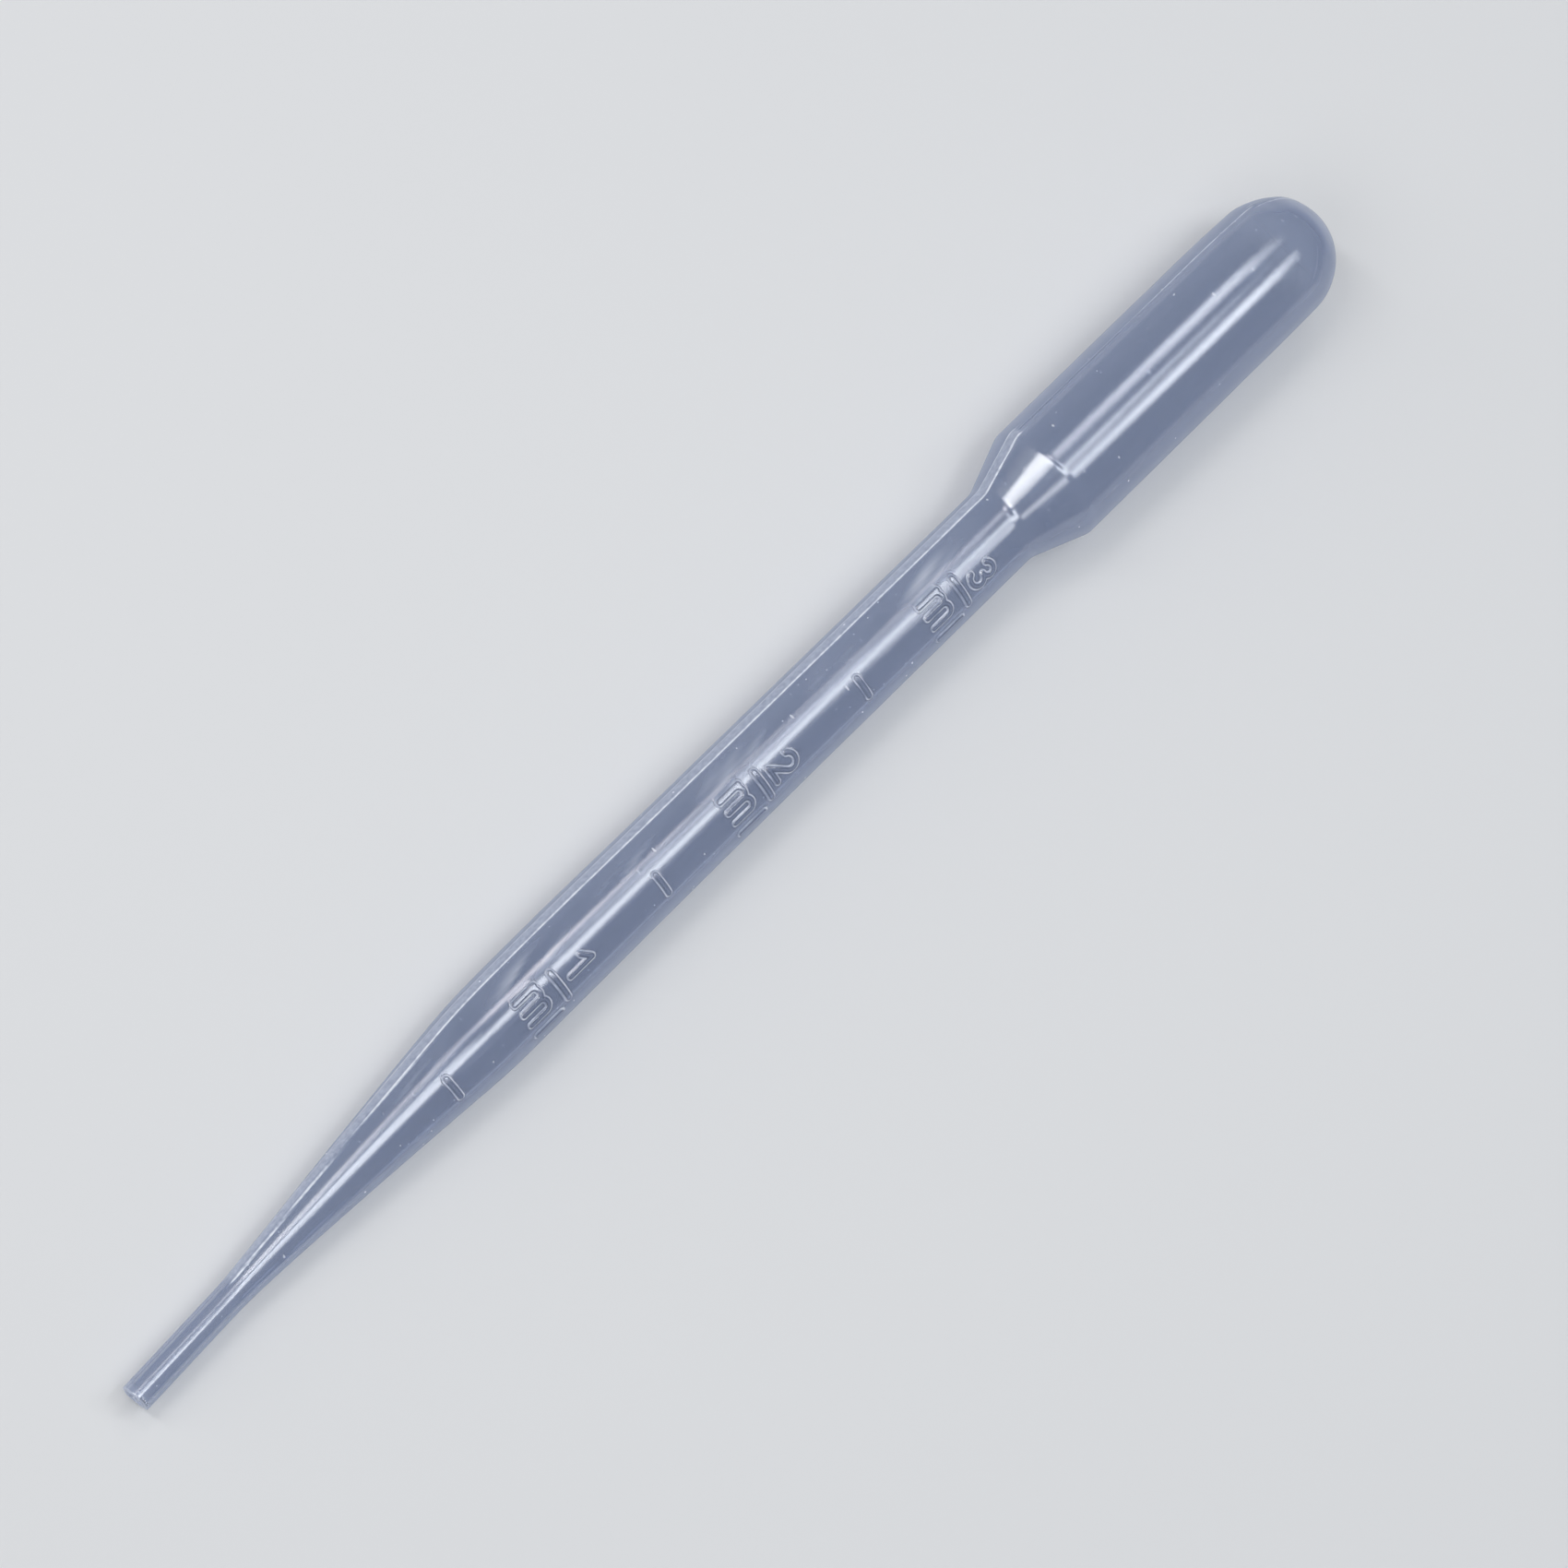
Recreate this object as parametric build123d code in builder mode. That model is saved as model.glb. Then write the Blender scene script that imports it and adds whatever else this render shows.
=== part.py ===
from build123d import *
import math
import os

os.makedirs("parts", exist_ok=True)

# Graduated plastic dropper pipette, blown in one piece from soft polyethylene.
# It lies on a surface: +X runs from the tip to the bulb, +Z is up, and the
# origin is under the middle of the part, on the surface that it lies on.
# "Station" below is the distance in millimetres from the tip, along the part.

# ---------------------------------------------------------------- dimensions

length = 155.0            # tip to the top of the dome

tip_r = 1.42              # outside radius of the straight tip
tip_len = 11.0            # length of the straight tip
tip_bore_r = 0.92         # radius of the hole in the tip

stem_r = 4.035            # outside radius of the straight stem
stem_start = 72.0         # station where the stem becomes truly straight
neck_low = 111.35         # station where the neck begins to flare
neck_high = 117.05        # station where the bulb becomes straight
neck_round = 3.0          # inside round at the foot of the neck
bulb_round = 1.6          # outside round at the top of the neck
bulb_r = 6.15             # outside radius of the bulb and of its dome

stem_wall = 0.53
bulb_wall = 0.50
dome_wall = 0.56

# the long taper and its soft shoulder: (station, outside radius)
taper = [
    (11.0, 1.420),
    (13.0, 1.465),
    (15.0, 1.600),
    (17.0, 1.757),
    (20.0, 2.005),
    (24.0, 2.358),
    (28.0, 2.712),
    (32.0, 3.066),
    (36.0, 3.420),
    (39.0, 3.686),
    (41.0, 3.858),
    (42.5, 3.968),
    (44.0, 4.040),
    (46.0, 4.080),
    (49.0, 4.104),
    (53.0, 4.115),
    (57.0, 4.110),
    (62.0, 4.082),
    (67.0, 4.050),
    (72.0, 4.035),
]

# the tip has taken a slight set to one side: a long arc, then straight
bend_start = 60.0         # station where the axis leaves the straight line
bend_end = 13.0           # station where it is straight again
bend_angle = 0.045        # radians turned between the two

# how the part lies: the bulb's lower edge and the stem's shoulder both touch,
# and the soft wall is slightly flattened there
rest_pitch = math.radians(1.6481)   # the axis falls towards the tip
rest_x = -77.4858                 # of the axis at station 0
rest_flat = 0.18                  # depth of the two small flats underneath
rest_z = 2.7733 - rest_flat       # of the axis at station 0

# mould features, as angles about the axis from the top towards -Y
mark_angle = math.radians(34.0)   # the graduations face this way
split_angle = mark_angle - math.pi / 2   # the mould halves met here and opposite

mark_proud = 0.17         # height of the raised graduations
stroke = 0.66             # width of a raised stroke
bar_w = 0.74              # width of a raised bar
full_bar = (-2.28, 1.30)  # ends of a whole-millilitre bar, across the stem
half_bar = (-1.90, 0.87)  # ends of a half-millilitre bar
top_bar = 102.85          # station of the 3 ml bar
half_step = 13.0          # between one bar and the next
digit_foot = 0.88         # from a bar to the foot of its digit
digit_h = 3.38            # height of a digit
unit_top = 1.45           # from a bar down to the top of its unit
unit_h = 3.12             # height of the m of the unit
ascender = 0.52           # how far the l stands above the m

split_proud = 0.08        # height of the mould's parting ridge
split_w = 1.24            # its width on the stem, the taper and the neck
seam_w = 0.30             # its width on the bulb
pinch_w = 0.96            # its width over the dome

# ------------------------------------------------------------ frame and axis

along = Vector(math.cos(rest_pitch), 0, math.sin(rest_pitch))
above = Vector(-math.sin(rest_pitch), 0, math.cos(rest_pitch))
aside = Vector(0, -1, 0)
start = Vector(rest_x, 0, rest_z)


def bend(s):
    """(distance along, offset aside, turn in radians) of the axis at a station"""
    radius = (bend_start - bend_end) / bend_angle
    turn = min(max(bend_start - s, 0.0) / radius, bend_angle)
    run = max(bend_end - s, 0.0)      # length beyond the arc, straight again
    if s >= bend_start:
        return s, 0.0, 0.0
    ahead = bend_start - radius * math.sin(turn) - run * math.cos(turn)
    off = radius * (1 - math.cos(turn)) + run * math.sin(turn)
    return ahead, off, turn


def station(s):
    """the plane square to the part at a station; its local x points up"""
    ahead, off, turn = bend(s)
    return Plane(
        origin=start + along * ahead + aside * off,
        x_dir=above,
        z_dir=along * math.cos(turn) - aside * math.sin(turn),
    )


axis = Axis(start, along)
section = Plane(origin=start, x_dir=along, z_dir=aside)


def outside(extra):
    """the part as if solid, with its skin moved out by extra"""
    with BuildPart() as body:
        with BuildSketch(station(0)):
            Circle(tip_r + extra)
        extrude(amount=tip_len)
        for s, r in taper:
            with BuildSketch(station(s)):
                Circle(r + extra)
        loft()
        with BuildSketch(section):
            with BuildLine():
                up = Line((stem_start, 0), (stem_start, stem_r + extra))
                side = Line(up @ 1, (neck_low, stem_r + extra))
                cone = Line(side @ 1, (neck_high, bulb_r + extra))
                wall = Line(cone @ 1, (length - bulb_r, bulb_r + extra))
                dome = CenterArc((length - bulb_r, 0), bulb_r + extra, 0, 90)
                Line(dome @ 0, up @ 0)
            make_face()
            low = vertices().sort_by_distance((neck_low, stem_r + extra))[0]
            fillet(low, neck_round)
            high = vertices().sort_by_distance((neck_high, bulb_r + extra))[0]
            fillet(high, bulb_round)
        revolve(axis=axis)
    return body.part


# -------------------------------------------------------- the hollow inside

cone_slope = (bulb_r - stem_r) / (neck_high - neck_low)
stem_in = stem_r - stem_wall
bulb_in = bulb_r - bulb_wall
dome_in = bulb_r - dome_wall
in_low = neck_low + 0.10
in_high = in_low + (bulb_in - stem_in) / cone_slope

with BuildPart() as hollow:
    # the tip's hole, open at its end
    with BuildSketch(station(-1.0)):
        Circle(tip_bore_r)
    extrude(amount=tip_len + 1.0)
    # the taper, whose wall grows a little from the tip to the stem
    for s, r in taper:
        part_way = (s - taper[0][0]) / (taper[-1][0] - taper[0][0])
        wall_here = (tip_r - tip_bore_r) * (1 - part_way) + stem_wall * part_way
        with BuildSketch(station(s)):
            Circle(r - wall_here)
    loft()
    # the stem, the neck and the bulb
    with BuildSketch(section):
        with BuildLine():
            up_in = Line((stem_start, 0), (stem_start, stem_in))
            side_in = Line(up_in @ 1, (in_low, stem_in))
            cone_in = Line(side_in @ 1, (in_high, bulb_in))
            wall_in = Line(cone_in @ 1, (length - bulb_r - 0.6, bulb_in))
            blend_in = Line(wall_in @ 1, (length - bulb_r, dome_in))
            dome_line = CenterArc((length - bulb_r, 0), dome_in, 0, 90)
            Line(dome_line @ 0, up_in @ 0)
        make_face()
        low_in = vertices().sort_by_distance((in_low, stem_in))[0]
        fillet(low_in, neck_round)
        high_in = vertices().sort_by_distance((in_high, bulb_in))[0]
        fillet(high_in, 1.2)
    revolve(axis=axis)

# ------------------------------------------------------- the parting ridges

# a thin slab through the axis, cut to the shape of a slightly larger skin
across = above * math.cos(mark_angle) + aside * math.sin(mark_angle)
outward = above * math.cos(split_angle) + aside * math.sin(split_angle)
slab_plane = Plane(origin=start, x_dir=along, z_dir=along.cross(across))
lean = math.sin(mark_angle)       # share of the bend that this view shows


def axis_line(s):
    return bend(s)[1] * lean


band_foot = 12.2
bend_mid = (bend_start + band_foot) / 2

with BuildPart() as ridges:
    with BuildSketch(slab_plane):
        with BuildLine():
            h = split_w / 2
            right = Line((neck_high + 0.7, h), (bend_start, h))
            right_arc = ThreePointArc(
                right @ 1,
                (bend_mid, axis_line(bend_mid) + h),
                (band_foot, axis_line(band_foot) + h),
            )
            foot = Line(right_arc @ 1, (band_foot, axis_line(band_foot) - h))
            left_arc = ThreePointArc(
                foot @ 1,
                (bend_mid, axis_line(bend_mid) - h),
                (bend_start, -h),
            )
            left = Line(left_arc @ 1, (neck_high + 0.7, -h))
            Line(left @ 1, right @ 0)
        make_face()
        # a fine seam on the bulb, and a broader pinch-off over the dome
        with Locations(((neck_high + length) / 2, 0)):
            Rectangle(length - neck_high + 2, seam_w)
        with Locations((length - bulb_r + 1.0 + 5.0, 0)):
            Rectangle(10.0, pinch_w)
    extrude(amount=9, both=True)
    add(outside(split_proud), mode=Mode.INTERSECT)

# ---------------------------------------------------- the raised graduations


def bar_at(s):
    """the plane that a raised bar is drawn on: y towards the bulb, z outwards"""
    return Plane(
        origin=start + along * bend(s)[0] + aside * bend(s)[1],
        x_dir=along.cross(across),
        z_dir=across,
    )


def capsule(x0, y0, x1, y1, width):
    """a straight raised stroke with round ends"""
    mid = ((x0 + x1) / 2, (y0 + y1) / 2)
    run = math.hypot(x1 - x0, y1 - y0)
    turn = math.degrees(math.atan2(y1 - y0, x1 - x0))
    with Locations(Location((mid[0], mid[1], 0), (0, 0, turn))):
        SlotCenterToCenter(run, width)


def arc_stroke(cx, cy, r, a0, sweep_deg, width):
    """a curved raised stroke with round ends, flat on XY: made outside a builder"""
    return SlotArc(CenterArc((cx, cy), r, a0, sweep_deg), width)


half_stroke = stroke / 2
foot = -unit_top - unit_h + half_stroke
crown = -unit_top - half_stroke
legs = (-2.13, -0.96, 0.21)       # of the m
arch = (legs[1] - legs[0]) / 2
base = digit_foot + half_stroke
top = digit_foot + digit_h - half_stroke
upper_r = 0.63                    # of the 3
lower_r = (top - base) / 2 - upper_r
bow = 0.78                        # of the 2

arches = [
    arc_stroke(legs[k] - arch, crown - arch, arch, 0, 180, stroke) for k in (1, 2)
]
three = [
    arc_stroke(-0.38, top - upper_r, upper_r, -90, 245, stroke),
    arc_stroke(-0.38, base + lower_r, lower_r, -155, 245, stroke),
]
two_bow = arc_stroke(-0.56, top - bow, bow, -45, 205, stroke)

with BuildPart() as marks:
    # whole-millilitre bars and half-millilitre bars
    for step in range(6):
        x0, x1 = full_bar if step % 2 == 0 else half_bar
        with BuildSketch(bar_at(top_bar - step * half_step)):
            capsule(x0 + bar_w / 2, 0, x1 - bar_w / 2, 0, bar_w)

    # the unit under each whole-millilitre bar
    for step in (0, 2, 4):
        with BuildSketch(bar_at(top_bar - step * half_step)):
            capsule(legs[0], foot, legs[0], crown, stroke)
            for k in (1, 2):
                add(arches[k - 1])
                capsule(legs[k], foot, legs[k], crown - arch, stroke)
            capsule(1.62, foot, 1.62, crown + ascender, stroke)

    # 3
    with BuildSketch(bar_at(top_bar)):
        for arc in three:
            add(arc)

    # 2
    with BuildSketch(bar_at(top_bar - 2 * half_step)):
        add(two_bow)
        knee = (
            -0.56 + bow * math.cos(math.radians(-45)),
            top - bow + bow * math.sin(math.radians(-45)),
        )
        capsule(knee[0], knee[1], -1.33, base, stroke)
        capsule(-1.33, base, 0.22, base, stroke)

    # 1
    with BuildSketch(bar_at(top_bar - 4 * half_step)):
        capsule(-0.48, base, -0.48, top, stroke)
        capsule(-0.48, top, -1.30, top - 0.74, stroke)

    extrude(amount=9)
    add(outside(mark_proud), mode=Mode.INTERSECT)

# ------------------------------------------------------------ the whole part

with BuildPart() as pipette_body:
    add(outside(0.0))
    add(ridges.part)
    add(marks.part)
    add(hollow.part, mode=Mode.SUBTRACT)
    # the two small flats that the part rests on
    split(bisect_by=Plane.XY, keep=Keep.TOP)

pipette_body.part.label = "pipette_body"
export_step(pipette_body.part, "parts/pipette_body.step")

box = pipette_body.part.bounding_box()
print("box", box.min, box.max, "volume", round(pipette_body.part.volume, 2))
print("middle of the tip's hole", station(tip_len / 2).origin, station(0).z_dir)
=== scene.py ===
import math

import bpy
import numpy as np
from mathutils import Matrix, Vector


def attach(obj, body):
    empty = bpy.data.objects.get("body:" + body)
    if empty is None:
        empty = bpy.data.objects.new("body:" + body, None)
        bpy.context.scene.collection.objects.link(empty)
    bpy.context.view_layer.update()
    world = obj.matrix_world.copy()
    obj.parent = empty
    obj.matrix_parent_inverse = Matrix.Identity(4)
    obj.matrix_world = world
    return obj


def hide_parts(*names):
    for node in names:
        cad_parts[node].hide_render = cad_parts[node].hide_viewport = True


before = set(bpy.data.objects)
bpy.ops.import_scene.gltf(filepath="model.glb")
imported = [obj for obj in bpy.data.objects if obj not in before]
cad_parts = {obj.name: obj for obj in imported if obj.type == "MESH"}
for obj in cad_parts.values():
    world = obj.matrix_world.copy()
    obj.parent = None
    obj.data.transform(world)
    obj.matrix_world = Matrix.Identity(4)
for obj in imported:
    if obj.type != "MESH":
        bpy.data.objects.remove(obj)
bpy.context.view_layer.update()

MM = 0.001

# ------------------------------------------------------------------ the part
# Stations are millimetres from the tip along the axis. An angle about the axis
# is measured from the top towards -Y, in radians.
LENGTH = 155.0
TIP_R, TIP_LEN, TIP_BORE = 1.42, 11.0, 0.92
STEM_R, STEM_START = 4.035, 72.0
NECK_LOW, NECK_HIGH = 111.35, 117.05
NECK_ROUND, BULB_ROUND = 3.0, 1.6
BULB_R = 6.15
STEM_WALL, BULB_WALL, DOME_WALL = 0.53, 0.50, 0.56
TAPER = [
    (11.0, 1.420), (13.0, 1.465), (15.0, 1.600), (17.0, 1.757), (20.0, 2.005),
    (24.0, 2.358), (28.0, 2.712), (32.0, 3.066), (36.0, 3.420), (39.0, 3.686),
    (41.0, 3.858), (42.5, 3.968), (44.0, 4.040), (46.0, 4.080), (49.0, 4.104),
    (53.0, 4.115), (57.0, 4.110), (62.0, 4.082), (67.0, 4.050), (72.0, 4.035),
]
BEND_START, BEND_END, BEND_ANGLE = 60.0, 13.0, 0.045
PITCH = math.radians(1.6481)
REST_FLAT = 0.18
START = np.array([-77.4858, 0.0, 2.7733 - REST_FLAT])
ALONG = np.array([math.cos(PITCH), 0.0, math.sin(PITCH)])
ABOVE = np.array([-math.sin(PITCH), 0.0, math.cos(PITCH)])
ASIDE = np.array([0.0, -1.0, 0.0])

MARK = math.radians(34.0)
SPLIT = MARK - math.pi / 2
MARK_PROUD, STROKE, BAR_W = 0.17, 0.66, 0.74
FULL_BAR, HALF_BAR = (-2.28, 1.30), (-1.90, 0.87)
TOP_BAR, HALF_STEP = 102.85, 13.0
DIGIT_FOOT, DIGIT_H = 0.88, 3.38
UNIT_TOP, UNIT_H, ASCENDER = 1.45, 3.12, 0.52
SPLIT_PROUD, SPLIT_W, SEAM_W, PINCH_W = 0.08, 1.24, 0.30, 0.96


def bend(s):
    """distance along, offset aside and turn of the axis at each station"""
    s = np.asarray(s, dtype=float)
    radius = (BEND_START - BEND_END) / BEND_ANGLE
    turn = np.clip((BEND_START - s) / radius, 0.0, BEND_ANGLE)
    run = np.maximum(BEND_END - s, 0.0)
    ahead = np.where(s >= BEND_START, s,
                     BEND_START - radius * np.sin(turn) - run * np.cos(turn))
    off = radius * (1 - np.cos(turn)) + run * np.sin(turn)
    return ahead, off, turn


def smooth(x, lo, hi):
    t = np.clip((x - lo) / (hi - lo), 0.0, 1.0)
    return t * t * (3 - 2 * t)


def monotone(xs, ys, x):
    """a smooth curve through the points that never overshoots them"""
    xs, ys = np.asarray(xs, float), np.asarray(ys, float)
    h = np.diff(xs)
    d = np.diff(ys) / h
    m = np.zeros_like(ys)
    m[0], m[-1] = d[0], d[-1]
    for k in range(1, len(xs) - 1):
        if d[k - 1] * d[k] > 0:
            w1, w2 = 2 * h[k] + h[k - 1], h[k] + 2 * h[k - 1]
            m[k] = (w1 + w2) / (w1 / d[k - 1] + w2 / d[k])
    m[0] = 0.0
    m[-1] = 0.0
    k = np.clip(np.searchsorted(xs, x) - 1, 0, len(xs) - 2)
    t = (x - xs[k]) / h[k]
    return ((1 + 2 * t) * (1 - t) ** 2 * ys[k] + t * (1 - t) ** 2 * h[k] * m[k]
            + t * t * (3 - 2 * t) * ys[k + 1] + t * t * (t - 1) * h[k] * m[k + 1])


def outer_radius(s):
    """outside radius of the smooth skin, without marks"""
    s = np.asarray(s, dtype=float)
    r = np.full_like(s, STEM_R)
    r = np.where(s <= TIP_LEN, TIP_R, r)
    tap = (s > TIP_LEN) & (s < STEM_START)
    ts, tr = [p[0] for p in TAPER], [p[1] for p in TAPER]
    r = np.where(tap, monotone(ts, tr, np.clip(s, ts[0], ts[-1])), r)
    slope = (BULB_R - STEM_R) / (NECK_HIGH - NECK_LOW)
    phi = math.atan(slope)
    # foot of the neck: an arc tangent to the stem and to the cone
    a = NECK_ROUND * math.tan(phi / 2)
    b = BULB_ROUND * math.tan(phi / 2)
    s0, s1 = NECK_LOW - a, NECK_LOW + a * math.cos(phi)
    s2, s3 = NECK_HIGH - b * math.cos(phi), NECK_HIGH + b
    arc0 = STEM_R + NECK_ROUND - np.sqrt(np.maximum(NECK_ROUND ** 2 - (s - s0) ** 2, 0))
    cone = STEM_R + (s - NECK_LOW) * slope
    arc1 = BULB_R - BULB_ROUND + np.sqrt(np.maximum(BULB_ROUND ** 2 - (s - s3) ** 2, 0))
    r = np.where((s > s0) & (s <= s1), arc0, r)
    r = np.where((s > s1) & (s <= s2), cone, r)
    r = np.where((s > s2) & (s <= s3), arc1, r)
    r = np.where(s > s3, BULB_R, r)
    top = LENGTH - BULB_R
    r = np.where(s > top, np.sqrt(np.maximum(BULB_R ** 2 - (s - top) ** 2, 0)), r)
    return r


def inner_radius(s):
    """radius of the hollow"""
    s = np.asarray(s, dtype=float)
    stem_in, bulb_in, dome_in = STEM_R - STEM_WALL, BULB_R - BULB_WALL, BULB_R - DOME_WALL
    share = np.clip((s - TIP_LEN) / (STEM_START - TIP_LEN), 0, 1)
    wall = (TIP_R - TIP_BORE) * (1 - share) + STEM_WALL * share
    r = outer_radius(np.clip(s, 0, STEM_START)) - wall
    slope = (BULB_R - STEM_R) / (NECK_HIGH - NECK_LOW)
    low = NECK_LOW + 0.10
    high = low + (bulb_in - stem_in) / slope
    phi = math.atan(slope)
    a, b = 3.0 * math.tan(phi / 2), 1.2 * math.tan(phi / 2)
    s0, s1 = low - a, low + a * math.cos(phi)
    s2, s3 = high - b * math.cos(phi), high + b
    arc0 = stem_in + 3.0 - np.sqrt(np.maximum(9.0 - (s - s0) ** 2, 0))
    arc1 = bulb_in - 1.2 + np.sqrt(np.maximum(1.44 - (s - s3) ** 2, 0))
    r = np.where(s > STEM_START, stem_in, r)
    r = np.where((s > s0) & (s <= s1), arc0, r)
    r = np.where((s > s1) & (s <= s2), stem_in + (s - low) * slope, r)
    r = np.where((s > s2) & (s <= s3), arc1, r)
    r = np.where(s > s3, bulb_in, r)
    top = LENGTH - BULB_R
    r = np.where(s > top - 0.6, bulb_in - (s - top + 0.6) / 0.6 * (bulb_in - dome_in), r)
    r = np.where(s > top, np.sqrt(np.maximum(dome_in ** 2 - (s - top) ** 2, 0)), r)
    return r


# ------------------------------------------------- distances to raised strokes
def line_d(x, y, x0, y0, x1, y1):
    dx, dy = x1 - x0, y1 - y0
    t = np.clip(((x - x0) * dx + (y - y0) * dy) / (dx * dx + dy * dy), 0, 1)
    return np.hypot(x - x0 - t * dx, y - y0 - t * dy)


def arc_d(x, y, cx, cy, r, a0, sweep):
    lo, hi = (a0, a0 + sweep) if sweep > 0 else (a0 + sweep, a0)
    mid, half = math.radians((lo + hi) / 2), math.radians((hi - lo) / 2)
    a = np.arctan2(y - cy, x - cx)
    da = (a - mid + math.pi) % (2 * math.pi) - math.pi
    on = np.abs(np.hypot(x - cx, y - cy) - r)
    ends = np.minimum(
        np.hypot(x - cx - r * math.cos(mid - half), y - cy - r * math.sin(mid - half)),
        np.hypot(x - cx - r * math.cos(mid + half), y - cy - r * math.sin(mid + half)))
    return np.where(np.abs(da) <= half, on, ends)


def mark_distance(s, x):
    """distance outside the edge of the nearest raised stroke, negative inside"""
    d = np.full(np.broadcast(s, x).shape, 9.0)
    h = STROKE / 2
    for step in range(6):
        y = s - (TOP_BAR - step * HALF_STEP)
        x0, x1 = FULL_BAR if step % 2 == 0 else HALF_BAR
        w = BAR_W / 2
        d = np.minimum(d, line_d(x, y, x0 + w, 0, x1 - w, 0) - w)
        if step % 2:
            continue
        foot, crown = -UNIT_TOP - UNIT_H + h, -UNIT_TOP - h
        legs = (-2.13, -0.96, 0.21)
        arch = (legs[1] - legs[0]) / 2
        d = np.minimum(d, line_d(x, y, legs[0], foot, legs[0], crown) - h)
        for k in (1, 2):
            d = np.minimum(d, arc_d(x, y, legs[k] - arch, crown - arch, arch, 0, 180) - h)
            d = np.minimum(d, line_d(x, y, legs[k], foot, legs[k], crown - arch) - h)
        d = np.minimum(d, line_d(x, y, 1.62, foot, 1.62, crown + ASCENDER) - h)
        base, top = DIGIT_FOOT + h, DIGIT_FOOT + DIGIT_H - h
        if step == 0:
            up = 0.63
            lo = (top - base) / 2 - up
            d = np.minimum(d, arc_d(x, y, -0.38, top - up, up, -90, 245) - h)
            d = np.minimum(d, arc_d(x, y, -0.38, base + lo, lo, 90, -245) - h)
        elif step == 2:
            bow = 0.78
            kx = -0.56 + bow * math.cos(math.radians(-45))
            ky = top - bow + bow * math.sin(math.radians(-45))
            d = np.minimum(d, arc_d(x, y, -0.56, top - bow, bow, 160, -205) - h)
            d = np.minimum(d, line_d(x, y, kx, ky, -1.33, base) - h)
            d = np.minimum(d, line_d(x, y, -1.33, base, 0.22, base) - h)
        else:
            d = np.minimum(d, line_d(x, y, -0.48, base, -0.48, top) - h)
            d = np.minimum(d, line_d(x, y, -0.48, top, -1.30, top - 0.74) - h)
    return d


# ------------------------------------------------------------ rows and columns
def spread(pieces):
    out = []
    for lo, hi, step in pieces:
        n = max(1, int(round((hi - lo) / step)))
        out.extend(np.linspace(lo, hi, n, endpoint=False))
    out.append(pieces[-1][1])
    return np.array(out)


def outer_rows():
    dense = 0.098
    zones = []
    for step in range(6):
        bar = TOP_BAR - step * HALF_STEP
        if step % 2 == 0:
            zones.append((bar - UNIT_TOP - UNIT_H - 0.15, bar - 0.95))
            zones.append((bar - 0.5, bar + DIGIT_FOOT + DIGIT_H + 0.15))
        else:
            zones.append((bar - 0.55, bar + 0.55))
    zones.sort()
    pieces = [(0.25, 2.0, 0.30), (2.0, TIP_LEN, 0.55), (TIP_LEN, zones[0][0], 0.70)]
    for k, (lo, hi) in enumerate(zones):
        pieces.append((lo, hi, dense))
        nxt = zones[k + 1][0] if k + 1 < len(zones) else NECK_LOW - 1.2
        pieces.append((hi, nxt, 0.20 if nxt - hi < 1 else 1.0))
    pieces += [(NECK_LOW - 1.2, NECK_HIGH + 0.8, 0.20),
               (NECK_HIGH + 0.8, LENGTH - BULB_R - 1.0, 0.80),
               (LENGTH - BULB_R - 1.0, LENGTH - BULB_R, 0.40)]
    rows = spread(pieces)
    dome = np.radians(np.arange(2.2, 88.5, 2.2))
    return np.concatenate([rows, LENGTH - BULB_R + BULB_R * np.sin(dome)])


def outer_columns():
    deg = [(-56.0 - 11.0, -56.0 - 2.2, 1.1), (-56.0 - 2.2, -56.0 + 2.2, 0.55),
           (-56.0 + 2.2, -56.0 + 11.0, 1.1), (-45.0, -4.0, 4.5),
           (-4.0, 71.0, 1.17), (71.0, 113.0, 5.25),
           (124.0 - 11.0, 124.0 - 2.2, 1.1), (124.0 - 2.2, 124.0 + 2.2, 0.55),
           (124.0 + 2.2, 124.0 + 11.0, 1.1), (135.0, 293.0, 6.1)]
    return np.radians(spread(deg)[:-1])


def wave(a, b, seed, k):
    """a gentle repeatable ripple over the skin, about -1 to 1"""
    rng = np.random.RandomState(seed)
    out = 0.0
    for _ in range(k):
        fs, ft = rng.uniform(0.15, 0.9), rng.randint(1, 4)
        out = out + np.sin(a * fs + b * ft + rng.uniform(0, 6.28)) / k ** 0.5
    return out


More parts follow.
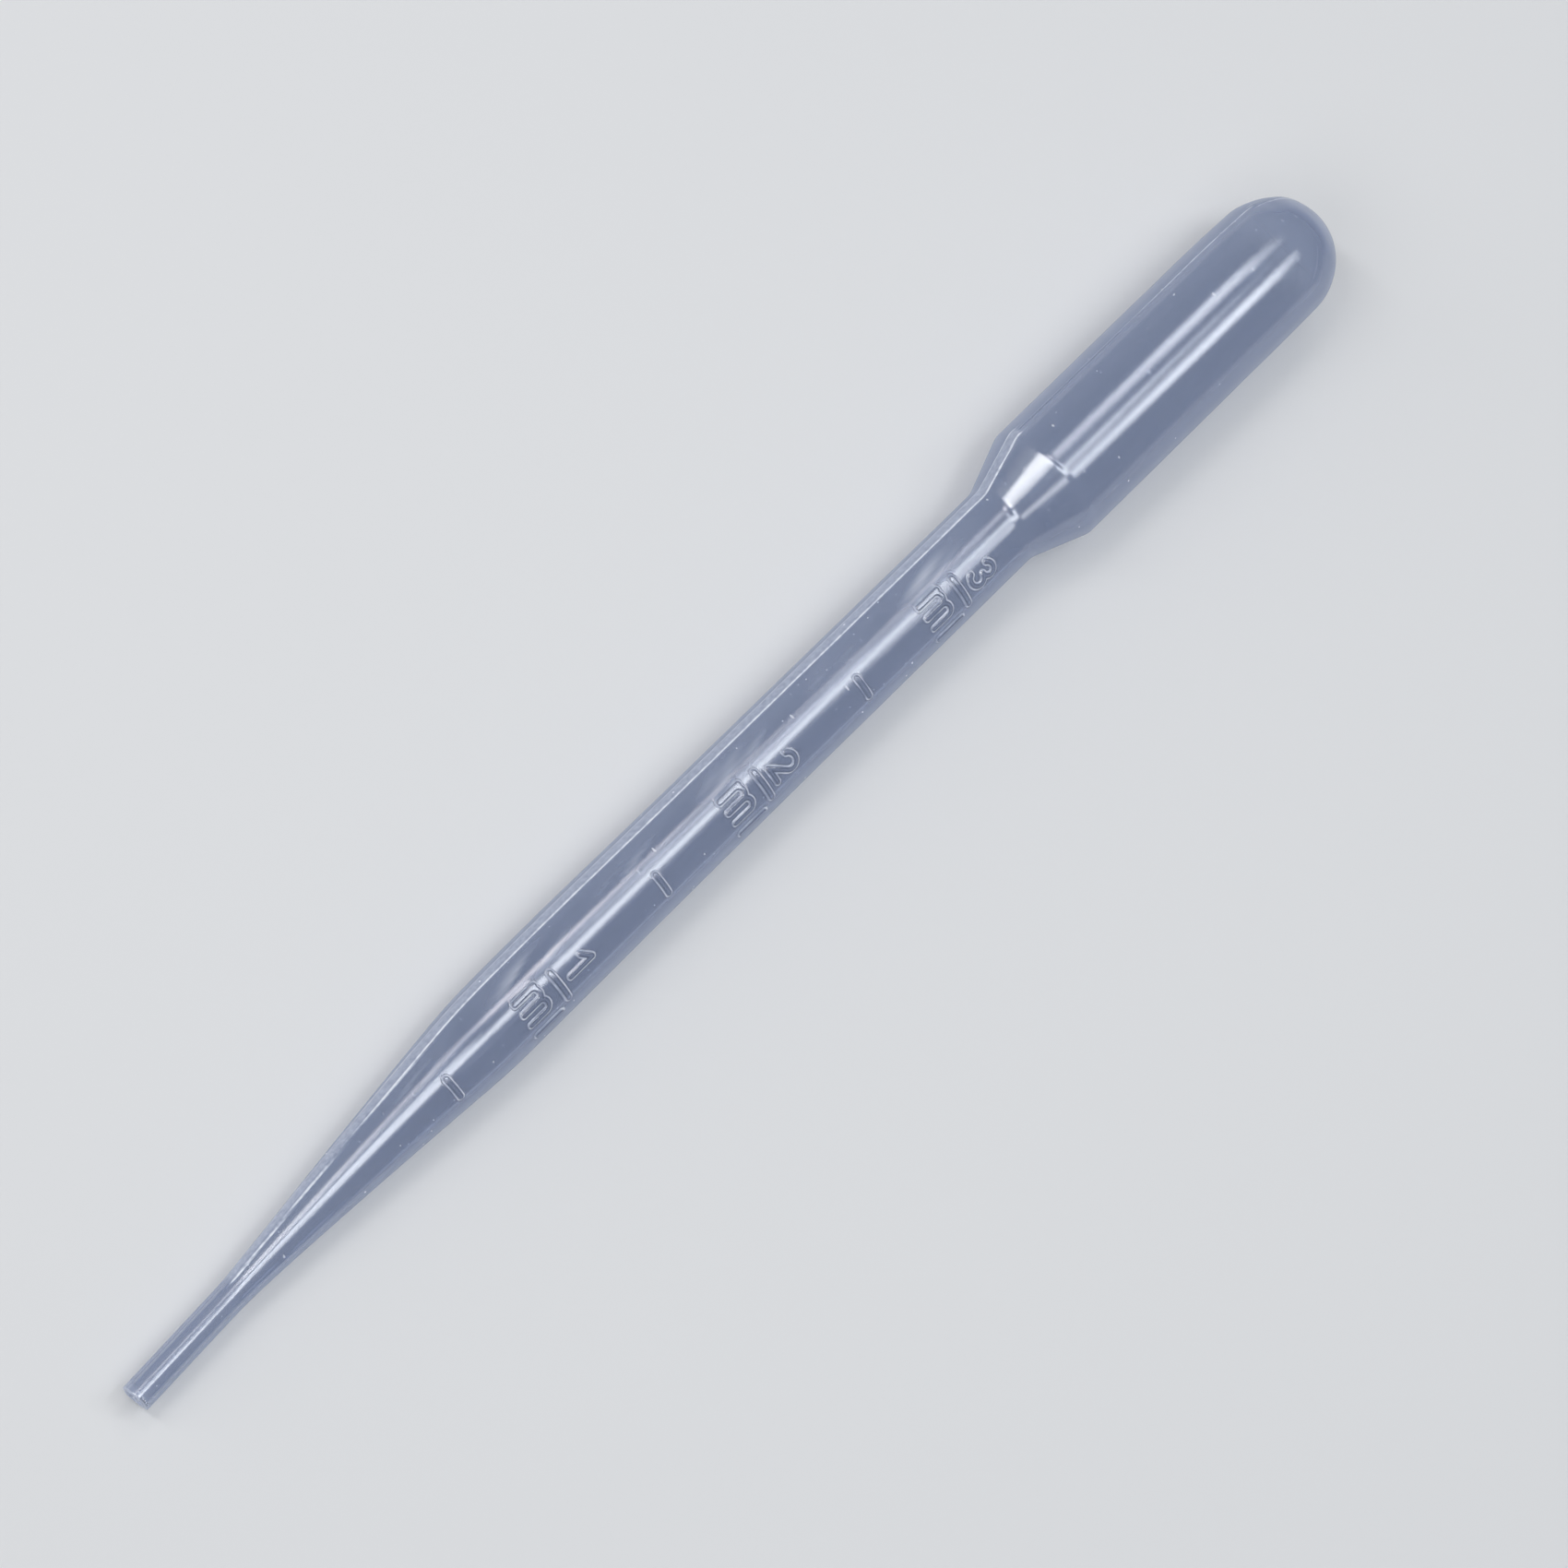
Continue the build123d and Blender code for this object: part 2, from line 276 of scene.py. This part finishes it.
def skin(s, theta):
    """outside radius of the real skin at stations and angles (both 2-D)"""
    r = outer_radius(s)
    # the blown wall is never perfectly round or straight
    body = smooth(s, 14.0, 60.0)
    r = r + (wave(s, theta, 3, 6) * 0.005 - 0.012) * body
    # the dome begins a little sooner on top and on the far side
    lop = 0.14 + 0.14 * np.cos(theta + 0.5)
    r = r - lop * (np.clip(s - 141.5, 0, 9.5) / 9.0) ** 2 * (1 - smooth(s, 151.0, LENGTH))
    # the skin is uneven around the figures
    for step in (0, 2, 4):
        mid = TOP_BAR - step * HALF_STEP - 0.2
        lobe = np.exp(-((s - mid) / 3.4) ** 4) * np.exp(-((np.angle(np.exp(1j * (theta - 0.1)))) / 0.75) ** 4)
        r = r + 0.006 * lobe * wave(s * 2.6, theta * 3, 61 + step, 7)
    # raised graduations
    near = np.abs(np.angle(np.exp(1j * (theta - MARK)))) < math.radians(60)
    x = r * np.sin(theta - MARK)
    d = np.where(near, mark_distance(s, x), 9.0)
    r = r + MARK_PROUD * (1 - smooth(d, -0.15, 0.04))
    # parting ridges, on both sides
    for ang in (SPLIT, SPLIT + math.pi):
        side = np.cos(theta - ang) > 0
        c = np.where(side, np.abs(r * np.sin(theta - ang)), 9.0)
        stem = smooth(s, 12.0, 13.4) * (1 - smooth(s, NECK_HIGH + 0.2, NECK_HIGH + 1.0))
        dome = smooth(s, LENGTH - BULB_R + 0.6, LENGTH - BULB_R + 1.4)
        bulb = smooth(s, NECK_HIGH + 0.2, NECK_HIGH + 1.0) * (1 - dome)
        tip = 1 - smooth(s, 12.0, 13.4)
        r = r + SPLIT_PROUD * stem * (1 - smooth(c, SPLIT_W / 2 - 0.14, SPLIT_W / 2 + 0.02))
        r = r + SPLIT_PROUD * dome * (1 - smooth(c, PINCH_W / 2 - 0.14, PINCH_W / 2 + 0.02))
        r = r + 0.05 * bulb * (1 - smooth(c, 0.0, SEAM_W / 2))
        r = r + 0.03 * tip * (1 - smooth(c, 0.0, 0.16))
    return r


def edge_glint(s, theta):
    """painted highlight: 1 along the crisp edges of the raised features and the parting lines, fading to 0"""
    r = outer_radius(s)
    near = np.abs(np.angle(np.exp(1j * (theta - MARK)))) < math.radians(60)
    x = r * np.sin(theta - MARK)
    d = np.where(near, mark_distance(s, x), 9.0)
    h = 0.03
    across = np.where(near, mark_distance(s, x + h) - mark_distance(s, x - h), 0.0) / (2 * h)
    along = np.where(near, mark_distance(s + h, x) - mark_distance(s - h, x), 0.0) / (2 * h)
    # painted light: stroke edges whose outside faces across or along the part one way are made brighter, the
    # others darker, as if lit from that side
    lit = 0.66 + 0.34 * np.clip(0.85 * across + 0.55 * along, -1, 1)
    # the painted highlight's strength varies at random along the strokes
    glint_strength = np.clip(0.85 + 0.30 * wave(s * 3.1, theta * 5, 41, 7), 0.35, 1.0)
    e = 1.5 * np.exp(-((d + 0.01) / 0.068) ** 2) * lit * glint_strength
    for ang in (SPLIT, SPLIT + math.pi):
        side = np.cos(theta - ang) > 0
        c = np.where(side, np.abs(r * np.sin(theta - ang)), 9.0)
        stem = smooth(s, 12.0, 13.4) * (1 - smooth(s, NECK_HIGH + 0.2, NECK_HIGH + 1.0))
        dome = smooth(s, LENGTH - BULB_R + 0.6, LENGTH - BULB_R + 1.4)
        bulb = smooth(s, NECK_HIGH + 0.2, NECK_HIGH + 1.0) * (1 - dome)
        # painted highlight lines along the edges of the parting band and the dome's pinch, and along the bulb's
        # seam; the band inside is a little paler
        e = e + 1.00 * stem * np.exp(-((c - SPLIT_W / 2) / 0.07) ** 2)
        e = e + 0.26 * stem * (c < SPLIT_W / 2)
        e = e + 0.5 * dome * np.exp(-((c - PINCH_W / 2) / 0.07) ** 2)
        e = e + 0.6 * bulb * np.exp(-(c / 0.10) ** 2) * smooth(s, 124.0, 142.0)
    return np.clip(e, 0, 1)


def painted_shade_lines(s, theta):
    """painted shade: 1 in a dark line along the inner foot of each raised stroke, and a fainter one just outside
    it
    """
    r = outer_radius(s)
    near = np.abs(np.angle(np.exp(1j * (theta - MARK)))) < math.radians(60)
    x = r * np.sin(theta - MARK)
    d = np.where(near, mark_distance(s, x), 9.0)
    return np.exp(-((d + 0.17) / 0.06) ** 2) + 0.8 * np.exp(-((d - 0.10) / 0.05) ** 2)


def thick_wall_and_ghosts(s, theta):
    """extra depth of cloudy wall: the dome's end, and a little at the neck; plus painted light, pale ghost smears
    of the figures
    """
    end = smooth(s, LENGTH - 3.6, LENGTH - 0.6)
    foot = np.exp(-((s - NECK_HIGH) / 0.7) ** 2) + np.exp(-((s - NECK_LOW) / 0.7) ** 2)
    lip = 1 - smooth(s, 0.4, 1.2)
    # painted light: faint pale smears standing in for ghost images of each block of figures, fainter beside the
    # half marks
    painted_ghosts = 0.0
    for step in range(6):
        mid = TOP_BAR - step * HALF_STEP - 1.0
        lobe = np.exp(-((s - mid) / 3.8) ** 2 - ((theta + 0.33) / 0.24) ** 2)
        part = 1.0 if step % 2 == 0 else 0.45
        painted_ghosts = painted_ghosts + part * lobe * np.clip(0.45 + 0.5 * wave(s * 1.7, theta * 8, 21 + step, 9), 0, 1)
    return 0.30 * end + 0.05 * foot + 0.25 * lip + 1.0 * painted_ghosts


def place(s, theta, r):
    """points in millimetres"""
    ahead, off, turn = bend(s)
    axis = (START + ahead[..., None] * ALONG + off[..., None] * ASIDE)
    side = np.cos(turn)[..., None] * ASIDE + np.sin(turn)[..., None] * ALONG
    return axis + r[..., None] * (np.cos(theta)[..., None] * ABOVE
                                  + np.sin(theta)[..., None] * side)


def build_shell():
    s_out, th_out = outer_rows(), outer_columns()
    n_out = len(th_out)
    S, T = np.meshgrid(s_out, th_out, indexing="ij")
    outer = place(S, T, skin(S, T))

    # the end of the tip: a rounded lip, cut a little unevenly
    lip = []
    trim = 0.06 + 0.05 * np.sin(th_out + 0.6) + 0.025 * np.sin(3 * th_out)
    for a in np.radians([0, 30, 60, 90]):
        rr = TIP_R - 0.14 + 0.14 * np.cos(a)
        ss = trim + 0.14 * (1 - np.sin(a))
        lip.append(place(ss, th_out, np.full(n_out, rr)))
    for rr in (TIP_R - 0.24, TIP_BORE + 0.12):
        lip.append(place(trim + 0.0, th_out, np.full(n_out, rr)))
    lip.append(place(trim + 0.04, th_out, np.full(n_out, TIP_BORE + 0.03)))
    lip.append(place(trim + 0.14, th_out, np.full(n_out, TIP_BORE)))
    lip = lip[::-1]

    # the hollow: fewer columns, joined to the lip's innermost ring
    s_in = spread([(0.6, TIP_LEN, 1.2), (TIP_LEN, 110.0, 1.4), (110.0, 118.5, 0.35),
                   (118.5, LENGTH - BULB_R - 0.6, 1.6), (LENGTH - BULB_R - 0.6, LENGTH - BULB_R, 0.3)])
    dome_in = BULB_R - DOME_WALL
    s_in = np.concatenate([s_in, LENGTH - BULB_R + dome_in * np.sin(np.radians(np.arange(4, 88, 4)))])
    n_in = 72
    th_in = np.linspace(0, 2 * math.pi, n_in, endpoint=False)
    SI, TI = np.meshgrid(s_in, th_in, indexing="ij")
    inner = place(SI, TI, inner_radius(SI) + wave(SI, TI, 9, 5) * 0.008 * smooth(SI, 14.0, 60.0))

    verts, faces = [], []

    def add_rings(rings):
        first = sum(len(v) for v in verts)
        for ring in rings:
            verts.append(ring)
        return first

    # outer skin from the lip to the dome
    rings = lip + [outer[k] for k in range(len(s_out))]
    base = add_rings(rings)
    for k in range(len(rings) - 1):
        a, b = base + k * n_out, base + (k + 1) * n_out
        for j in range(n_out):
            j2 = (j + 1) % n_out
            faces.append((a + j, b + j, b + j2, a + j2))
    pole = place(np.array([LENGTH]), np.array([0.0]), np.array([0.0]))
    p = add_rings([pole])
    last = base + (len(rings) - 1) * n_out
    for j in range(n_out):
        faces.append((last + j, p, last + (j + 1) % n_out))

    # inner skin
    inner_from = len(faces)
    ibase = add_rings([inner[k] for k in range(len(s_in))])
    for k in range(len(s_in) - 1):
        a, b = ibase + k * n_in, ibase + (k + 1) * n_in
        for j in range(n_in):
            j2 = (j + 1) % n_in
            faces.append((a + j, a + j2, b + j2, b + j))
    ipole = place(np.array([LENGTH - BULB_R + dome_in]), np.array([0.0]), np.array([0.0]))
    ip = add_rings([ipole])
    last = ibase + (len(s_in) - 1) * n_in
    for j in range(n_in):
        faces.append((last + j, last + (j + 1) % n_in, ip))
    inner_to = len(faces)

    # join the lip's innermost ring to the hollow's first ring
    th_a = np.concatenate([th_out, [th_out[0] + 2 * math.pi]])
    order = np.argsort(th_in)
    i = j = 0
    start = int(np.argmin(np.abs(np.angle(np.exp(1j * (th_in - th_out[0]))))))
    th_b = th_in[start] + np.arange(n_in + 1) * (2 * math.pi / n_in)
    th_b = th_b - 2 * math.pi * round((th_b[0] - th_a[0]) / (2 * math.pi))
    while i < n_out or j < n_in:
        a0, b0 = base + i % n_out, ibase + (start + j) % n_in
        if j >= n_in or (i < n_out and th_a[i + 1] <= th_b[j + 1]):
            faces.append((a0, base + (i + 1) % n_out, b0))
            i += 1
        else:
            faces.append((a0, ibase + (start + j + 1) % n_in, b0))
            j += 1

    pts = np.concatenate([np.atleast_2d(v) for v in verts])
    # the two small flats that the part rests on
    pts[:, 2] = np.maximum(pts[:, 2], 0.0)
    pts = pts * MM
    mesh = bpy.data.meshes.new("pipette_shell")
    # wound so that the normals point out of the plastic
    mesh.from_pydata([tuple(v) for v in pts], [], [f[:1] + f[:0:-1] for f in faces])
    mesh.update()
    mesh.polygons.foreach_set("use_smooth", np.ones(len(mesh.polygons), dtype=bool))
    slot = np.zeros(len(mesh.polygons), dtype=np.int32)
    slot[inner_from:inner_to] = 1
    mesh.polygons.foreach_set("material_index", slot)
    # painted highlight along the raised edges and parting lines, carried by the 'edge' attribute
    edge = np.zeros(len(pts))
    first = base + len(lip) * n_out
    edge[first:first + len(s_out) * n_out] = edge_glint(S, T).ravel()
    mesh.attributes.new("edge", "FLOAT", "POINT").data.foreach_set("value", edge)
    # painted shade lines beside the raised strokes
    shade_line = np.zeros(len(pts))
    shade_line[first:first + len(s_out) * n_out] = painted_shade_lines(S, T).ravel()
    mesh.attributes.new("shade_line", "FLOAT", "POINT").data.foreach_set("value", shade_line)
    # wall thickness, with the painted ghost smears of the figures
    thick_and_ghosts = np.zeros(len(pts))
    thick_and_ghosts[base:first] = 0.45
    thick_and_ghosts[first:first + len(s_out) * n_out] = thick_wall_and_ghosts(S, T).ravel()
    thick_and_ghosts[p] = 0.30
    thick_and_ghosts[ibase:ibase + len(s_in) * n_in] = 0.4 * thick_wall_and_ghosts(SI, TI).ravel()
    thick_and_ghosts[ip] = 0.12
    mesh.attributes.new("thick_and_ghosts", "FLOAT", "POINT").data.foreach_set("value", thick_and_ghosts)
    obj = bpy.data.objects.new("pipette_shell", mesh)
    bpy.context.scene.collection.objects.link(obj)
    return obj


shell = build_shell()
tris = sum(len(p.vertices) - 2 for p in shell.data.polygons)
print("shell triangles", tris)


# ------------------------------------------------------------------ materials
def plastic(name, haze_depth, gloss_base, gloss_rim, rough, edge_gain):
    mat = bpy.data.materials.new(name)
    mat.use_nodes = True
    nt = mat.node_tree
    nt.nodes.clear()

    def node(kind, **inputs):
        n = nt.nodes.new(kind)
        for key, value in inputs.items():
            n.inputs[key.replace("_", " ")].default_value = value
        return n

    def link(a, b):
        nt.links.new(a, b)

    def calc(op, *args):
        n = nt.nodes.new("ShaderNodeMath")
        n.operation = op
        for k, v in enumerate(args):
            if isinstance(v, (int, float)):
                n.inputs[k].default_value = v
            else:
                link(v, n.inputs[k])
        return n.outputs[0]

    out = nt.nodes.new("ShaderNodeOutputMaterial")
    coord = nt.nodes.new("ShaderNodeTexCoord").outputs["Object"]
    edge = nt.nodes.new("ShaderNodeAttribute")
    edge.attribute_name = "edge"
    edge = edge.outputs["Fac"]
    thick_and_ghosts = nt.nodes.new("ShaderNodeAttribute")
    thick_and_ghosts.attribute_name = "thick_and_ghosts"
    thick_and_ghosts = thick_and_ghosts.outputs["Fac"]

    shade_line = nt.nodes.new("ShaderNodeAttribute")
    shade_line.attribute_name = "shade_line"
    shade_line = shade_line.outputs["Fac"]

    # fine ripple of the moulded skin, and a finer orange peel
    ripple = node("ShaderNodeTexNoise", Scale=650.0, Detail=4.0, Roughness=0.6)
    link(coord, ripple.inputs["Vector"])
    bump = node("ShaderNodeBump", Strength=0.10, Distance=0.00001)
    link(ripple.outputs["Fac"], bump.inputs["Height"])

    # the painted highlight along the crisp outlines is broken up along their length
    break_up = node("ShaderNodeTexNoise", Scale=2100.0, Detail=2.0, Roughness=0.5)
    link(coord, break_up.inputs["Vector"])
    edge = calc("MULTIPLY", edge, calc("MULTIPLY_ADD", break_up.outputs["Fac"], 1.3, 0.35))

    # cloudiness that varies a little along and around the wall
    cloud = node("ShaderNodeTexNoise", Scale=160.0, Detail=3.0, Roughness=0.55)
    link(coord, cloud.inputs["Vector"])
    cloud = calc("MULTIPLY_ADD", cloud.outputs["Fac"], 0.10, -0.05)

    # specks: pinpoint inclusions, in a few of the cells
    cells = node("ShaderNodeTexVoronoi", Scale=1100.0, Randomness=1.0)
    link(coord, cells.inputs["Vector"])
    pick = nt.nodes.new("ShaderNodeSeparateColor")
    link(cells.outputs["Color"], pick.inputs[0])
    speck = calc("MULTIPLY", calc("LESS_THAN", cells.outputs["Distance"], 0.075),
                 calc("GREATER_THAN", pick.outputs[0], 0.90))
    # short nicks across the length
    squash = nt.nodes.new("ShaderNodeVectorMath")
    squash.operation = "MULTIPLY"
    squash.inputs[1].default_value = (1.0, 0.30, 1.0)
    link(coord, squash.inputs[0])
    nicks = node("ShaderNodeTexVoronoi", Scale=900.0, Randomness=1.0)
    link(squash.outputs[0], nicks.inputs["Vector"])
    pick2 = nt.nodes.new("ShaderNodeSeparateColor")
    link(nicks.outputs["Color"], pick2.inputs[0])
    nick = calc("MULTIPLY", calc("LESS_THAN", nicks.outputs["Distance"], 0.09),
                calc("GREATER_THAN", pick2.outputs[0], 0.80))
    speck = calc("MAXIMUM", speck, nick)

    # a cloudy wall hides more where it is crossed at a slant: 1 - exp(-depth / cos)
    facing = node("ShaderNodeLayerWeight", Blend=0.5).outputs["Facing"]
    slant = calc("MAXIMUM", calc("SUBTRACT", 1.0, facing), 0.10)
    depth = calc("ADD", calc("ADD", thick_and_ghosts, haze_depth), cloud)
    share = calc("SUBTRACT", 1.0, calc("EXPONENT", calc("MULTIPLY", calc("DIVIDE", depth, slant), -1.0)))
    # painted highlight: the edges are made milkier and so paler
    share = calc("ADD", share, calc("MULTIPLY", edge, edge_gain))
    share = calc("ADD", share, calc("MULTIPLY", speck, 0.5))
    share = calc("MINIMUM", share, 0.97)
    gloss_share = calc("MULTIPLY_ADD", calc("POWER", facing, 5.0), gloss_rim, gloss_base)

    tone = nt.nodes.new("ShaderNodeMix")
    tone.data_type = "RGBA"
    tone.inputs[6].default_value = (0.405, 0.475, 0.65, 1)
    tone.inputs[7].default_value = (0.90, 0.93, 1.00, 1)
    # paler tone from the painted edge highlight, the specks and the thicker wall with its painted ghost smears
    pale = calc("ADD", calc("ADD", edge, speck), calc("MULTIPLY", thick_and_ghosts, 0.9))
    link(calc("MINIMUM", pale, 1.0), tone.inputs[0])
    # painted shade: the milky tone darkens along the dark lines beside the strokes
    dim = nt.nodes.new("ShaderNodeMix")
    dim.data_type = "RGBA"
    dim.inputs[7].default_value = (0.13, 0.15, 0.21, 1)
    link(calc("MINIMUM", calc("MULTIPLY", shade_line, 0.5), 0.5), dim.inputs[0])
    link(tone.outputs[2], dim.inputs[6])

    # the clear wall's tint, and painted shade darkening it along the same lines
    tint_and_shade = nt.nodes.new("ShaderNodeMix")
    tint_and_shade.data_type = "RGBA"
    tint_and_shade.inputs[6].default_value = (0.90, 0.915, 0.945, 1)
    tint_and_shade.inputs[7].default_value = (0.36, 0.40, 0.50, 1)
    link(calc("MINIMUM", shade_line, 1.0), tint_and_shade.inputs[0])
    clear = node("ShaderNodeBsdfTransparent")
    link(tint_and_shade.outputs[2], clear.inputs["Color"])
    haze = node("ShaderNodeBsdfDiffuse")
    glow = node("ShaderNodeBsdfTranslucent")
    link(dim.outputs[2], haze.inputs["Color"])
    link(dim.outputs[2], glow.inputs["Color"])
    milk = node("ShaderNodeMixShader")
    link(calc("MULTIPLY_ADD", calc("MINIMUM", edge, 1.0), -0.34, 0.40), milk.inputs["Fac"])
    link(haze.outputs[0], milk.inputs[1])
    link(glow.outputs[0], milk.inputs[2])
    gloss = node("ShaderNodeBsdfGlossy", Roughness=rough, Color=(1, 1, 1, 1))
    gloss.distribution = "BECKMANN"
    link(bump.outputs["Normal"], gloss.inputs["Normal"])
    body = node("ShaderNodeMixShader")
    link(share, body.inputs["Fac"])
    link(clear.outputs[0], body.inputs[1])
    link(milk.outputs[0], body.inputs[2])
    skin_mix = node("ShaderNodeMixShader")
    link(gloss_share, skin_mix.inputs["Fac"])
    link(body.outputs[0], skin_mix.inputs[1])
    link(gloss.outputs[0], skin_mix.inputs[2])
    link(skin_mix.outputs[0], out.inputs["Surface"])
    return mat


shell.data.materials.append(plastic("polyethylene_skin", 0.33, 0.12, 0.42, 0.20, 0.95))
shell.data.materials.append(plastic("polyethylene_hollow", 0.12, 0.008, 0.10, 0.38, 0.0))
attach(shell, "root")
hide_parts("pipette_body")


# ---------------------------------------------------------------- the setting
def floor():
    mesh = bpy.data.meshes.new("studio_floor")
    e = 2.5
    mesh.from_pydata([(-e, -e, -0.00002), (e, -e, -0.00002), (e, e, -0.00002), (-e, e, -0.00002)],
                     [], [(0, 1, 2, 3)])
    obj = bpy.data.objects.new("studio_floor", mesh)
    bpy.context.scene.collection.objects.link(obj)
    mat = bpy.data.materials.new("floor")
    mat.use_nodes = True
    b = mat.node_tree.nodes["Principled BSDF"]
    b.inputs["Base Color"].default_value = (0.71, 0.715, 0.72, 1)
    b.inputs["Roughness"].default_value = 0.8
    b.inputs["Specular IOR Level"].default_value = 0.2
    mesh.materials.append(mat)
    return obj


floor()


def area(name, at, aim, size, power, colour=(1, 1, 1), roll=0.0):
    data = bpy.data.lights.new(name, "AREA")
    data.shape = "RECTANGLE"
    data.size, data.size_y = size
    data.energy = power
    data.color = colour
    obj = bpy.data.objects.new(name, data)
    bpy.context.scene.collection.objects.link(obj)
    at, aim = Vector(at), Vector(aim)
    back = (at - aim).normalized()
    x = Vector((1, 0, 0))
    x = (x - back * x.dot(back)).normalized()
    y = back.cross(x)
    rot = Matrix((x, y, back)).transposed().to_4x4()
    obj.matrix_world = Matrix.Translation(at) @ rot @ Matrix.Rotation(roll, 4, "Z")
    return obj


def strip(name, x0, y0, x1, y1, z, width, radiance, colour=(1, 1, 1)):
    """a long light over the part, from one point to another at height z"""
    run = math.hypot(x1 - x0, y1 - y0)
    data = bpy.data.lights.new(name, "AREA")
    data.shape = "RECTANGLE"
    data.size, data.size_y = run, width
    data.energy = radiance * math.pi * run * width
    data.color = colour
    obj = bpy.data.objects.new(name, data)
    bpy.context.scene.collection.objects.link(obj)
    obj.matrix_world = (Matrix.Translation(((x0 + x1) / 2, (y0 + y1) / 2, z))
                        @ Matrix.Rotation(math.atan2(y1 - y0, x1 - x0), 4, "Z"))
    return obj


area("top_key", (-1.15, 0.10, 1.05), (0, 0, 0), (0.8, 1.2), 5.0)
area("side_left", (-0.70, 0.95, 0.50), (0, 0, 0), (0.9, 0.7), 1.7)
WARM, COOL = (1.0, 0.94, 0.94), (0.93, 0.96, 1.0)
strip("taper_right", -0.030, -0.170, -0.090, 0.060, 0.55, 0.080, 5.60, COOL)
strip("taper_left", -0.032, 0.215, -0.088, 0.340, 0.55, 0.070, 2.80, WARM)
strip("stem_right", 0.026, -0.142, 0.140, -0.072, 0.55, 0.150, 4.80, COOL)
strip("stem_mid", 0.138, 0.000, 0.184, 0.015, 0.55, 0.220, 4.50, COOL)
strip("stem_top", 0.180, -0.040, 0.206, -0.092, 0.55, 0.160, 4.80, COOL)
strip("link_right", 0.206, -0.092, 0.244, -0.250, 0.55, 0.050, 4.60, COOL)
strip("stem_left", 0.022, 0.248, 0.130, 0.196, 0.55, 0.110, 4.20, WARM)
strip("stem_left_top", 0.192, 0.172, 0.216, 0.168, 0.55, 0.100, 3.60, WARM)
strip("bulb_right", 0.246, -0.255, 0.318, -0.255, 0.55, 0.115, 4.50, COOL)
strip("bulb_left", 0.240, 0.205, 0.296, 0.205, 0.55, 0.115, 2.40, WARM)
strip("dome_left", 0.296, 0.205, 0.327, 0.205, 0.55, 0.165, 9.00, COOL)
strip("dome_right", 0.318, -0.250, 0.353, -0.250, 0.55, 0.175, 10.00, COOL)
strip("neck_left", -0.126, 0.126, -0.219, 0.536, 0.55, 0.085, 8.50)
strip("neck_right", -0.180, -0.165, -0.185, -0.290, 0.55, 0.120, 2.80)

world = bpy.data.worlds.new("studio")
world.use_nodes = True
world.node_tree.nodes["Background"].inputs["Color"].default_value = (0.93, 0.96, 1.0, 1)
world.node_tree.nodes["Background"].inputs["Strength"].default_value = 0.25
bpy.context.scene.world = world

# ------------------------------------------------------------------ the camera
tilt = math.radians(18.148)
back = Vector((-math.sin(tilt), 0, math.cos(tilt)))
e1 = Vector((math.cos(tilt), 0, math.sin(tilt)))
e2 = Vector((0, -1, 0))
right = 0.71368461 * e1 + 0.70046719 * e2
up = 0.70046719 * e1 - 0.71368461 * e2
ahead0, off0, _ = bend(79.3)
target = Vector((START + float(ahead0) * ALONG + float(off0) * ASIDE + 2.97 * ASIDE) * MM)
cam = bpy.data.cameras.new("camera")
cam.lens = 112.86
cam.sensor_width = 36.0
cam.clip_start = 0.01
cam_obj = bpy.data.objects.new("camera", cam)
cam_obj.matrix_world = Matrix.Translation(target + back * 0.440) @ Matrix((right, up, back)).transposed().to_4x4()
bpy.context.scene.collection.objects.link(cam_obj)
bpy.context.scene.camera = cam_obj

bpy.context.scene.view_settings.view_transform = "Standard"

bpy.context.view_layer.update()
